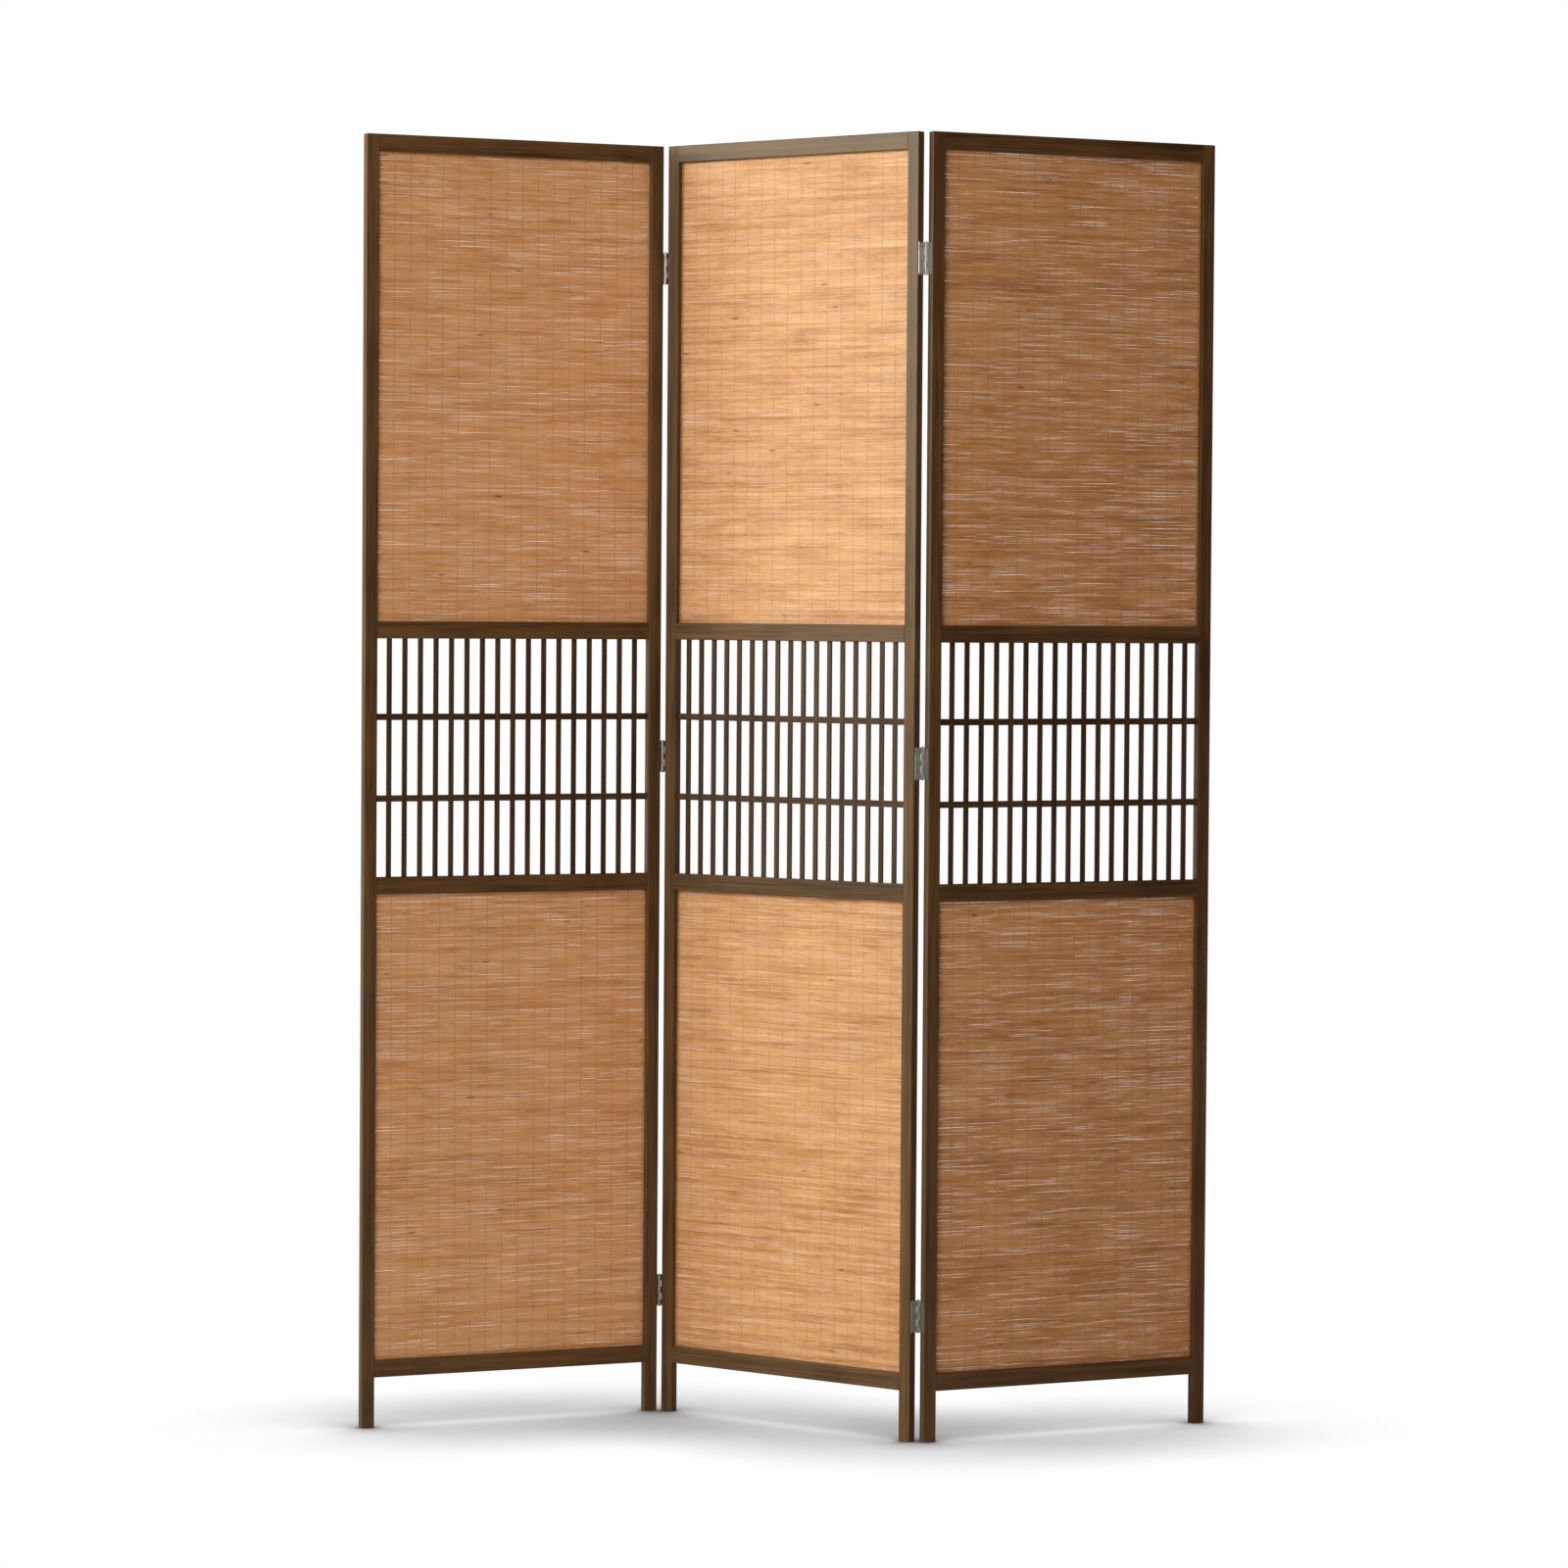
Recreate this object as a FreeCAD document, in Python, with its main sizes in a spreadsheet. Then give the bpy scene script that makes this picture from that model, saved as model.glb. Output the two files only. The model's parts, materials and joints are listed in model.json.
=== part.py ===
import FreeCAD, Part
import Sketcher
import os

# Bamboo folding screen: three framed panels in a zigzag, joined edge to edge by small butt hinges.
# Millimetres and degrees. Z is up, the floor is z = 0 and the front of the screen faces -Y.
# Each panel is drawn in its own frame: x from its left edge, y from its front face, z from the floor.

doc = FreeCAD.newDocument("FoldingScreen")

# Driving dimensions

SIZES = {
    "height": (1800, "stiles, floor to top"),
    "panel_width": (450, "one panel, edge to edge"),
    "frame_depth": (13, "stiles and rails, front to back"),
    "stile_width": (19, "seen from the front"),
    "rail_height": (24, "seen from the front"),
    "leg_height": (70, "floor to the underside of the bottom rail"),
    "lattice_height": (332, "open field between the two middle rails"),
    "edge_radius": (1.2, "eased edges of stiles and rails"),
    "mat_thickness": (2.4, "bamboo mat"),
    "mat_offset": (2.7, "middle of the frame's depth to the middle of the mat"),
    "mat_play": (0.3, "room round a mat in its grooves"),
    "groove_depth": (5, "grooves that hold the mats"),
    "slat_count": (17, "upright slats of one lattice"),
    "slat_width": (7, "upright slat, seen from the front"),
    "bar_height": (9, "level lattice bar, seen from the front"),
    "lattice_depth": (3, "slats and bars, front to back"),
    "mortise_depth": (5, "sockets for the ends of slats and bars"),
    "glue_gap": (0.1, "room for glue on each face of a joint"),
    "dowel_diameter": (6, "dowels between rails and stiles"),
    "dowel_depth": (12, "dowel hole in each piece"),
    "dowel_chamfer": (0.8, "eased ends of a dowel"),
    "knuckle_diameter": (4.2, "hinge barrel, and so the gap between two panels laid flat"),
    "knuckle_length": (8.6, "one of the five knuckles of a hinge"),
    "knuckle_play": (0.3, "room between knuckles"),
    "face_gap": (0.2, "hinge barrel to the face of the frame"),
    "leaf_thickness": (0.9, "hinge plate"),
    "leaf_width": (14, "pin axis to the free edge of a leaf"),
    "pin_diameter": (2, "hinge pin"),
    "pin_play": (0.05, "radial running fit of the pin"),
    "pin_head_diameter": (3.4, "upset ends of the pin"),
    "pin_head_height": (0.8, "upset ends of the pin"),
    "hinge_inset": (173, "top and low hinge centres from the ends of the stiles"),
    "screw_diameter": (2.4, "shank of a hinge screw"),
    "screw_head_diameter": (4, "countersunk head, flush with the leaf"),
    "screw_length": (10, "head to tip"),
    "screw_tip": (3, "tapered tip of a screw"),
    "screw_point": (0.6, "blunt end of the tip"),
    "screw_play": (0.1, "room round a screw"),
    "screw_spacing": (15, "spacing of the three screws of a leaf"),
    "slot_length": (2.4, "cross slot in a screw head"),
    "slot_width": (0.6, "cross slot in a screw head"),
    "slot_depth": (0.5, "cross slot in a screw head"),
    "left_turn": (25.3, "left panel from the picture plane, right edge away"),
    "middle_turn": (39.3, "middle panel from the picture plane, left edge away"),
    "right_turn": (27, "right panel from the picture plane, right edge away"),
}

sheet = doc.addObject("Spreadsheet::Sheet", "size")
for row, (alias, (number, note)) in enumerate(SIZES.items(), start=1):
    sheet.set(f"A{row}", alias)
    sheet.set(f"B{row}", str(number))
    sheet.setAlias(f"B{row}", alias)
    sheet.set(f"C{row}", note)
doc.recompute()

# Sizes that follow from the driving ones, as expressions of the sheet

INNER_WIDTH = "(size.panel_width - 2 * size.stile_width)"
MAT_FIELD = "((size.height - size.leg_height - size.lattice_height - 4 * size.rail_height) / 2)"
LOWER_FIELD = "(size.leg_height + size.rail_height)"
LOWER_MID_RAIL = f"({LOWER_FIELD} + {MAT_FIELD})"
LATTICE_FIELD = f"({LOWER_MID_RAIL} + size.rail_height)"
UPPER_MID_RAIL = f"({LATTICE_FIELD} + size.lattice_height)"
UPPER_FIELD = f"({UPPER_MID_RAIL} + size.rail_height)"
TOP_RAIL = "(size.height - size.rail_height)"
RAIL_LEVELS = {
    "bottom_rail": "size.leg_height",
    "lower_mid_rail": LOWER_MID_RAIL,
    "upper_mid_rail": UPPER_MID_RAIL,
    "top_rail": TOP_RAIL,
}

MAT_FRONT = "(size.frame_depth / 2 + size.mat_offset - size.mat_thickness / 2)"
GROOVE_WIDTH = "(size.mat_thickness + 2 * size.mat_play)"
GROOVE_FRONT = f"({MAT_FRONT} - size.mat_play)"
MAT_TUCK = "(size.groove_depth - size.mat_play)"

LATTICE_FRONT = "((size.frame_depth - size.lattice_depth) / 2)"
SLAT_GAP = f"(({INNER_WIDTH} - size.slat_count * size.slat_width) / (size.slat_count + 1))"
SLAT_PITCH = f"({SLAT_GAP} + size.slat_width)"
SLAT_TUCK = "(size.mortise_depth - size.glue_gap)"
BAR_GAP = "((size.lattice_height - 2 * size.bar_height) / 3)"
BAR_LEVELS = {
    "lower": f"({LATTICE_FIELD} + {BAR_GAP})",
    "upper": f"({LATTICE_FIELD} + 2 * {BAR_GAP} + size.bar_height)",
}

MIDDLE_KNUCKLES = 3
SIDE_KNUCKLES = 2
KNUCKLES = MIDDLE_KNUCKLES + SIDE_KNUCKLES
KNUCKLE_RADIUS = "(size.knuckle_diameter / 2)"
KNUCKLE_STEP = "(size.knuckle_length + size.knuckle_play)"
HINGE_HEIGHT = f"({KNUCKLES} * size.knuckle_length + {KNUCKLES - 1} * size.knuckle_play)"
PIN_OFFSET = f"({KNUCKLE_RADIUS} + size.face_gap)"
PLATE_START = f"({KNUCKLE_RADIUS} + size.knuckle_play)"
SCREW_LINE = f"(({PLATE_START} + size.leaf_width) / 2)"
PLATE_FACE = f"(size.leaf_thickness - {KNUCKLE_RADIUS})"
SCREWS_PER_LEAF = 3
FIRST_SCREW = f"(-{SCREWS_PER_LEAF - 1} / 2 * size.screw_spacing)"
HINGE_LEVELS = {
    "top": "(size.height - size.hinge_inset)",
    "mid": f"({LATTICE_FIELD} + size.lattice_height / 2)",
    "low": "size.hinge_inset",
}


def value(expression):
    """The number that an expression of the sheet comes to."""
    return float(sheet.evalExpression(expression))


def bind(target, expressions):
    """Tie properties of an object to expressions of the sheet."""
    for name, expression in expressions.items():
        target.setExpression(name, expression)


# Sketches and features inside a body

def new_body(label):
    body = doc.addObject("PartDesign::Body", label)
    body.Label = label
    return body


def datum(body, role):
    """One of the body's own origin planes or axes."""
    return next(part for part in body.Origin.OriginFeatures if part.Role == role)


def attach(feature, body, role, at):
    """Lay a sketch or feature on one of the body's planes, moved by three expressions along its own axes."""
    feature.AttachmentSupport = (datum(body, role), [""])
    feature.MapMode = "FlatFace"
    bind(feature, {f"AttachmentOffset.Base.{axis}": expression for axis, expression in zip("xyz", at)})


def sketch_on(body, role, at):
    sketch = body.newObject("Sketcher::SketchObject", "Sketch")
    attach(sketch, body, role, at)
    return sketch


def rectangle(body, role, across, up, at=("0", "0", "0")):
    """A rectangle with its low left corner at the sketch's origin."""
    sketch = sketch_on(body, role, at)
    wide = value(across)
    tall = value(up)
    corners = [FreeCAD.Vector(x, y) for x, y in ((0, 0), (wide, 0), (wide, tall), (0, tall))]
    for first, second in zip(corners, corners[1:] + corners[:1]):
        sketch.addGeometry(Part.LineSegment(first, second), False)
    for line in range(4):
        sketch.addConstraint(Sketcher.Constraint("Coincident", line, 2, (line + 1) % 4, 1))
        sketch.addConstraint(Sketcher.Constraint("Vertical" if line % 2 else "Horizontal", line))
    sketch.addConstraint(Sketcher.Constraint("Coincident", 0, 1, -1, 1))
    for line, kind, name, expression in ((0, "DistanceX", "across", across), (1, "DistanceY", "up", up)):
        number = sketch.addConstraint(Sketcher.Constraint(kind, line, 1, line, 2, value(expression)))
        sketch.renameConstraint(number, name)
        sketch.setExpression(f"Constraints.{name}", expression)
    return sketch


def circle(body, role, diameter, at):
    """A circle centred on the sketch's origin."""
    sketch = sketch_on(body, role, at)
    round_edge = Part.Circle(FreeCAD.Vector(0, 0), FreeCAD.Vector(0, 0, 1), value(diameter) / 2)
    sketch.addGeometry(round_edge, False)
    sketch.addConstraint(Sketcher.Constraint("Coincident", 0, 3, -1, 1))
    number = sketch.addConstraint(Sketcher.Constraint("Diameter", 0, value(diameter)))
    sketch.renameConstraint(number, "across")
    sketch.setExpression("Constraints.across", diameter)
    return sketch


def pad(body, sketch, length):
    feature = body.newObject("PartDesign::Pad", "Pad")
    feature.Profile = sketch
    feature.setExpression("Length", length)
    doc.recompute()
    return feature


def cut(body, sketch, depth, forward=False):
    """A pocket against the sketch's normal, or along it when forward is set. It has to take wood away."""
    before = body.Tip.Shape.Volume
    feature = body.newObject("PartDesign::Pocket", "Pocket")
    feature.Profile = sketch
    feature.Reversed = forward
    feature.setExpression("Length", depth)
    doc.recompute()
    if not feature.Shape.Volume < before:
        raise RuntimeError(f"a pocket of {body.Label} cuts nothing")
    return feature


PARALLEL = 1e-6


def ease(body, along=None):
    """Round the edges of the body's first pad: all of them, or only those along one direction."""
    base = body.Tip
    names = []
    for number, edge in enumerate(base.Shape.Edges, start=1):
        if along is None or edge.tangentAt(edge.FirstParameter).cross(along).Length < PARALLEL:
            names.append(f"Edge{number}")
    feature = body.newObject("PartDesign::Fillet", "Eased")
    feature.Base = (base, names)
    feature.setExpression("Radius", "size.edge_radius")
    doc.recompute()


def repeat(body, features, direction, step, count):
    """A row of features along a direction, given as an object and the name of its axis."""
    pattern = body.newObject("PartDesign::LinearPattern", "Row")
    pattern.Originals = features
    pattern.Direction = direction
    bind(pattern, {"Length": f"{step} * ({count} - 1)", "Occurrences": count})
    body.Tip = pattern
    doc.recompute()


# Plain solids outside a body

def block(name, length, width, height, at=()):
    solid = doc.addObject("Part::Box", name)
    bind(solid, {"Length": length, "Width": width, "Height": height})
    bind(solid, {f"Placement.Base.{axis}": expression for axis, expression in zip("xyz", at)})
    return solid


def rod(name, diameter, height, low):
    solid = doc.addObject("Part::Cylinder", name)
    bind(solid, {"Radius": f"{diameter} / 2", "Height": height, "Placement.Base.z": low})
    return solid


def taper(name, low_diameter, high_diameter, height, low):
    solid = doc.addObject("Part::Cone", name)
    bind(solid, {"Radius1": f"{low_diameter} / 2", "Radius2": f"{high_diameter} / 2"})
    bind(solid, {"Height": height, "Placement.Base.z": low})
    return solid


def joined(name, solids):
    fuse = doc.addObject("Part::MultiFuse", name)
    fuse.Shapes = solids
    return fuse


# Where the panels stand. The folds are worked out from the turns, and the whole is centred on the origin.

UP = FreeCAD.Vector(0, 0, 1)
FLIPS = {
    "none": FreeCAD.Rotation(),
    "across": FreeCAD.Rotation(FreeCAD.Vector(0, 1, 0), 180),
    "over": FreeCAD.Rotation(FreeCAD.Vector(1, 0, 0), 180),
    "round": FreeCAD.Rotation(UP, 180),
}


def panel_places():
    """The placement of each panel's frame and of the two hinge axes."""
    width = value("size.panel_width")
    depth = value("size.frame_depth")
    half_gap = value(KNUCKLE_RADIUS)
    offset = value(PIN_OFFSET)
    turns = {
        "left_panel": FreeCAD.Rotation(UP, value("size.left_turn")),
        "middle_panel": FreeCAD.Rotation(UP, -value("size.middle_turn")),
        "right_panel": FreeCAD.Rotation(UP, value("size.right_turn")),
    }
    # The left fold's pins stand before the front faces, the right fold's behind the back faces.
    left_axis = turns["middle_panel"].multVec(FreeCAD.Vector(-half_gap, -offset, 0))
    right_axis = turns["middle_panel"].multVec(FreeCAD.Vector(width + half_gap, depth + offset, 0))
    left_reach = turns["left_panel"].multVec(FreeCAD.Vector(width + half_gap, -offset, 0))
    right_reach = turns["right_panel"].multVec(FreeCAD.Vector(-half_gap, depth + offset, 0))
    corner = {
        "left_panel": left_axis - left_reach,
        "middle_panel": FreeCAD.Vector(),
        "right_panel": right_axis - right_reach,
    }
    # The box round all panels touches their eased corners, so it is found from the centres of those.
    radius = value("size.edge_radius")
    centres = []
    for panel, turn in turns.items():
        for x in (radius, width - radius):
            for y in (radius, depth - radius):
                centres.append(corner[panel] + turn.multVec(FreeCAD.Vector(x, y, 0)))
    middle_x = (min(point.x for point in centres) + max(point.x for point in centres)) / 2
    middle_y = (min(point.y for point in centres) + max(point.y for point in centres)) / 2
    shift = FreeCAD.Vector(-middle_x, -middle_y, 0)
    places = {panel: FreeCAD.Placement(corner[panel] + shift, turn) for panel, turn in turns.items()}
    axes = {"left": left_axis + shift, "right": right_axis + shift}
    return places, axes


PLACES, AXES = panel_places()
nodes = []


def seat(node, panel, x="0", y="0", z="0"):
    """Put a finished sub-part at its place in a panel and list it for writing."""
    spot = FreeCAD.Placement(FreeCAD.Vector(value(x), value(y), value(z)), FreeCAD.Rotation())
    node.Placement = PLACES[panel] * spot
    nodes.append(node)


def group(label, shape, places):
    """One node of several equal solids, each a copy of one shape."""
    copies = []
    for place in places:
        solid = shape.copy()
        solid.Placement = place
        copies.append(solid)
    node = doc.addObject("Part::Feature", label)
    node.Label = label
    node.Shape = Part.makeCompound(copies)
    return node


# Frame members of one panel

def build_stile(panel, side, pin_side):
    """A full-height upright. Its inner face carries grooves and sockets, its outer face the hinge screws."""
    body = new_body(f"{panel}_{side}_stile")
    pad(body, rectangle(body, "XY_Plane", "size.stile_width", "size.frame_depth"), "size.height")
    ease(body)
    inner = "size.stile_width" if side == "left" else "0"
    outer = "0" if side == "left" else "size.stile_width"
    rightward = side == "right"
    for field in (LOWER_FIELD, UPPER_FIELD):
        low = f"{field} - size.groove_depth"
        tall = f"{MAT_FIELD} + 2 * size.groove_depth"
        groove = rectangle(body, "YZ_Plane", GROOVE_WIDTH, tall, (GROOVE_FRONT, low, inner))
        cut(body, groove, "size.groove_depth", forward=rightward)
    for level in RAIL_LEVELS.values():
        at = ("size.frame_depth / 2", f"{level} + size.rail_height / 2", inner)
        hole = circle(body, "YZ_Plane", "size.dowel_diameter + 2 * size.glue_gap", at)
        cut(body, hole, "size.dowel_depth", forward=rightward)
    for level in BAR_LEVELS.values():
        at = (f"{LATTICE_FRONT} - size.glue_gap", f"{level} - size.glue_gap", inner)
        wide = "size.lattice_depth + 2 * size.glue_gap"
        tall = "size.bar_height + 2 * size.glue_gap"
        cut(body, rectangle(body, "YZ_Plane", wide, tall, at), "size.mortise_depth", forward=rightward)
    if pin_side:
        from_front = f"({SCREW_LINE} - {PIN_OFFSET})"
        line = from_front if pin_side == "front" else f"size.frame_depth - {from_front}"
        for level in HINGE_LEVELS.values():
            at = (line, f"{level} + {FIRST_SCREW}", outer)
            pilot = circle(body, "YZ_Plane", "size.screw_diameter + 2 * size.screw_play", at)
            hole = cut(body, pilot, "size.screw_length", forward=not rightward)
            repeat(body, [hole], (pilot, ["V_Axis"]), "size.screw_spacing", f"{SCREWS_PER_LEAF}")
    seat(body, panel, x="0" if side == "left" else "size.panel_width - size.stile_width")


def build_rail(panel, name, groove_below, groove_above, mortised):
    """A cross member with dowel holes in its ends, mat grooves and, on the middle rails, slat sockets."""
    body = new_body(f"{panel}_{name}")
    pad(body, rectangle(body, "YZ_Plane", "size.frame_depth", "size.rail_height"), INNER_WIDTH)
    ease(body, along=FreeCAD.Vector(1, 0, 0))
    lows = []
    if groove_below:
        lows.append("0")
    if groove_above:
        lows.append("size.rail_height - size.groove_depth")
    for low in lows:
        groove = rectangle(body, "YZ_Plane", GROOVE_WIDTH, "size.groove_depth", (GROOVE_FRONT, low, "0"))
        cut(body, groove, INNER_WIDTH, forward=True)
    for end, forward in (("0", True), (INNER_WIDTH, False)):
        at = ("size.frame_depth / 2", "size.rail_height / 2", end)
        hole = circle(body, "YZ_Plane", "size.dowel_diameter + 2 * size.glue_gap", at)
        cut(body, hole, "size.dowel_depth", forward=forward)
    if mortised:
        face = "size.rail_height" if mortised == "top" else "0"
        at = (f"{SLAT_GAP} - size.glue_gap", f"{LATTICE_FRONT} - size.glue_gap", face)
        wide = "size.slat_width + 2 * size.glue_gap"
        deep = "size.lattice_depth + 2 * size.glue_gap"
        socket = rectangle(body, "XY_Plane", wide, deep, at)
        mortise = cut(body, socket, "size.mortise_depth", forward=mortised == "underside")
        repeat(body, [mortise], (socket, ["H_Axis"]), SLAT_PITCH, "size.slat_count")
    seat(body, panel, x="size.stile_width", z=RAIL_LEVELS[name])


def build_dowels(panel, dowel):
    """Eight dowels, one in each end of the four rails."""
    spots = []
    for level in RAIL_LEVELS.values():
        for seam in ("size.stile_width", "size.panel_width - size.stile_width"):
            middle = value(f"{level} + size.rail_height / 2")
            at = FreeCAD.Vector(value(seam), value("size.frame_depth / 2"), middle)
            spots.append(FreeCAD.Placement(at, FreeCAD.Rotation()))
    seat(group(f"{panel}_dowels", dowel.Shape, spots), panel)


# Mats and lattice of one panel

def build_mat(panel, name, field):
    """A bamboo mat as a thin plate, its four edges in the grooves of the frame."""
    label = f"{panel}_{name}_mat"
    wide = f"{INNER_WIDTH} + 2 * {MAT_TUCK}"
    tall = f"{MAT_FIELD} + 2 * {MAT_TUCK}"
    mat = block(label, wide, "size.mat_thickness", tall)
    mat.Label = label
    doc.recompute()
    seat(mat, panel, x=f"size.stile_width - {MAT_TUCK}", y=MAT_FRONT, z=f"{field} - {MAT_TUCK}")


def build_bar(panel, name):
    """A level lattice bar, notched in front where the slats cross it."""
    body = new_body(f"{panel}_{name}_lattice_bar")
    length = f"({INNER_WIDTH} + 2 * {SLAT_TUCK})"
    pad(body, rectangle(body, "YZ_Plane", "size.lattice_depth", "size.bar_height"), length)
    wide = "size.slat_width + 2 * size.glue_gap"
    deep = "size.lattice_depth / 2 + size.glue_gap / 2"
    lap = rectangle(body, "XY_Plane", wide, deep, (f"{SLAT_TUCK} + {SLAT_GAP} - size.glue_gap", "0", "0"))
    notch = cut(body, lap, "size.bar_height", forward=True)
    repeat(body, [notch], (lap, ["H_Axis"]), SLAT_PITCH, "size.slat_count")
    seat(body, panel, x=f"size.stile_width - {SLAT_TUCK}", y=LATTICE_FRONT, z=BAR_LEVELS[name])


def build_slats(panel, slat):
    """The upright slats of one lattice, tucked into the two middle rails."""
    spots = []
    for number in range(round(value("size.slat_count"))):
        across = value(f"size.stile_width + {SLAT_GAP} + {number} * {SLAT_PITCH}")
        at = FreeCAD.Vector(across, value(LATTICE_FRONT), value(f"{LATTICE_FIELD} - {SLAT_TUCK}"))
        spots.append(FreeCAD.Placement(at, FreeCAD.Rotation()))
    seat(group(f"{panel}_lattice_slats", slat.Shape, spots), panel)


# Patterns for the pieces that come in groups

def draw_dowel():
    """A dowel along X, centred on the seam between a rail and a stile."""
    body = new_body("dowel")
    half = "(size.dowel_depth - size.glue_gap)"
    end = circle(body, "YZ_Plane", "size.dowel_diameter", ("0", "0", f"-{half}"))
    shaft = pad(body, end, f"2 * {half}")
    eased = body.newObject("PartDesign::Chamfer", "Eased")
    rims = [f"Edge{n}" for n, edge in enumerate(shaft.Shape.Edges, start=1) if edge.Closed]
    eased.Base = (shaft, rims)
    eased.setExpression("Size", "size.dowel_chamfer")
    doc.recompute()
    return body


def draw_slat():
    """An upright slat, notched behind where it crosses the two bars."""
    body = new_body("slat")
    tall = f"size.lattice_height + 2 * {SLAT_TUCK}"
    pad(body, rectangle(body, "XY_Plane", "size.slat_width", "size.lattice_depth"), tall)
    for level in BAR_LEVELS.values():
        low = f"{level} - {LATTICE_FIELD} + {SLAT_TUCK} - size.glue_gap"
        deep = "size.lattice_depth / 2 + size.glue_gap / 2"
        high = "size.bar_height + 2 * size.glue_gap"
        at = ("size.lattice_depth / 2 - size.glue_gap / 2", low, "0")
        cut(body, rectangle(body, "YZ_Plane", deep, high, at), "size.slat_width", forward=True)
    return body


def draw_screw():
    """A countersunk screw with a cross slot, its head up at z = 0 and its tip down."""
    shank = "size.screw_diameter"
    shank_length = "size.screw_length - size.screw_tip - size.leaf_thickness"
    body = joined("screw_body", [
        taper("screw_head", shank, "size.screw_head_diameter", "size.leaf_thickness", "-size.leaf_thickness"),
        rod("screw_shank", shank, shank_length, "size.screw_tip - size.screw_length"),
        taper("screw_end", "size.screw_point", shank, "size.screw_tip", "-size.screw_length"),
    ])
    long = "size.slot_length"
    narrow = "size.slot_width"
    deep = "size.slot_depth"
    slot = joined("screw_slot", [
        block("slot_across", long, narrow, deep, (f"-{long} / 2", f"-{narrow} / 2", f"-{deep}")),
        block("slot_along", narrow, long, deep, (f"-{narrow} / 2", f"-{long} / 2", f"-{deep}")),
    ])
    screw = doc.addObject("Part::Cut", "screw")
    screw.Base = body
    screw.Tool = slot
    doc.recompute()
    return screw


# Hinges. A leaf is drawn with the pin axis on Z and the stile on its -X side, behind the pin.

def build_leaf(label, knuckles):
    """A leaf with three or two of the five knuckles, its plate cut back beside the other leaf's."""
    body = new_body(label)
    low = f"-{HINGE_HEIGHT} / 2"
    first = low if knuckles == MIDDLE_KNUCKLES else f"{low} + {KNUCKLE_STEP}"
    against_stile = f"-{KNUCKLE_RADIUS}"
    reach = f"size.leaf_width - {PLATE_START}"
    plate = rectangle(body, "XY_Plane", "size.leaf_thickness", reach, (against_stile, PLATE_START, low))
    pad(body, plate, HINGE_HEIGHT)
    root = rectangle(body, "XY_Plane", "size.leaf_thickness", PLATE_START, (against_stile, "0", first))
    root_pad = pad(body, root, "size.knuckle_length")
    barrel = circle(body, "XY_Plane", "size.knuckle_diameter", ("0", "0", first))
    barrel_pad = pad(body, barrel, "size.knuckle_length")
    pin_axis = (datum(body, "Z_Axis"), [""])
    repeat(body, [root_pad, barrel_pad], pin_axis, f"2 * {KNUCKLE_STEP}", f"{knuckles}")
    pin_hole = "size.pin_diameter + 2 * size.pin_play"
    bore = circle(body, "XY_Plane", pin_hole, ("0", "0", f"{HINGE_HEIGHT} / 2"))
    cut(body, bore, HINGE_HEIGHT)
    countersink = body.newObject("PartDesign::SubtractiveCone", "Countersink")
    attach(countersink, body, "YZ_Plane", (SCREW_LINE, FIRST_SCREW, against_stile))
    bind(countersink, {
        "Radius1": "size.screw_diameter / 2 + size.screw_play",
        "Radius2": "size.screw_head_diameter / 2 + size.screw_play",
        "Height": "size.leaf_thickness",
    })
    doc.recompute()
    repeat(body, [countersink], pin_axis, "size.screw_spacing", f"{SCREWS_PER_LEAF}")
    return body


def build_pin(label):
    """A hinge pin with both ends upset so that it stays in its knuckles."""
    half = f"({HINGE_HEIGHT} / 2 + size.knuckle_play)"
    wide = "size.pin_head_diameter"
    thick = "size.pin_head_height"
    pin = joined(label, [
        rod(f"{label}_shank", "size.pin_diameter", f"2 * {half}", f"-{half}"),
        rod(f"{label}_head", wide, thick, half),
        rod(f"{label}_tail", wide, thick, f"-{half} - {thick}"),
    ])
    pin.Label = label
    doc.recompute()
    return pin


def hinge_place(fold, panel, level, flip):
    """The placement of a leaf: at the fold's axis, turned with its panel and flipped to its stile."""
    at = FreeCAD.Vector(AXES[fold].x, AXES[fold].y, value(level))
    return FreeCAD.Placement(at, PLACES[panel].Rotation * FLIPS[flip])


def screw_places(leaf_place):
    """The screws of a leaf, heads flush with the plate and tips in the stile."""
    inward = FreeCAD.Rotation(FreeCAD.Vector(0, 1, 0), 90)
    spots = []
    for number in range(SCREWS_PER_LEAF):
        level = value(f"{FIRST_SCREW} + {number} * size.screw_spacing")
        at = FreeCAD.Vector(value(PLATE_FACE), value(SCREW_LINE), level)
        spots.append(leaf_place * FreeCAD.Placement(at, inward))
    return spots


FOLDS = {
    "left": (("left_panel", "none", SIDE_KNUCKLES), ("middle_panel", "across", MIDDLE_KNUCKLES)),
    "right": (("middle_panel", "over", MIDDLE_KNUCKLES), ("right_panel", "round", SIDE_KNUCKLES)),
}


def build_hinges(screw):
    """Three hinges on each fold: a leaf on either panel, a pin, and the screws of each panel as one node."""
    screws = {panel: [] for panel in PLACES}
    for fold, sides in FOLDS.items():
        for name, level in HINGE_LEVELS.items():
            for panel, flip, knuckles in sides:
                leaf = build_leaf(f"{fold}_fold_{name}_hinge_{panel.split('_')[0]}_leaf", knuckles)
                leaf.Placement = hinge_place(fold, panel, level, flip)
                nodes.append(leaf)
                screws[panel] += screw_places(leaf.Placement)
            pin = build_pin(f"{fold}_fold_{name}_hinge_pin")
            pin.Placement = hinge_place(fold, "middle_panel", level, "none")
            nodes.append(pin)
    for panel, places in screws.items():
        nodes.append(group(f"{panel}_hinge_screws", screw.Shape, places))


# Build every panel, then the hinges

PIN_SIDES = {
    ("left_panel", "right"): "front",
    ("middle_panel", "left"): "front",
    ("middle_panel", "right"): "back",
    ("right_panel", "left"): "back",
}

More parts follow.
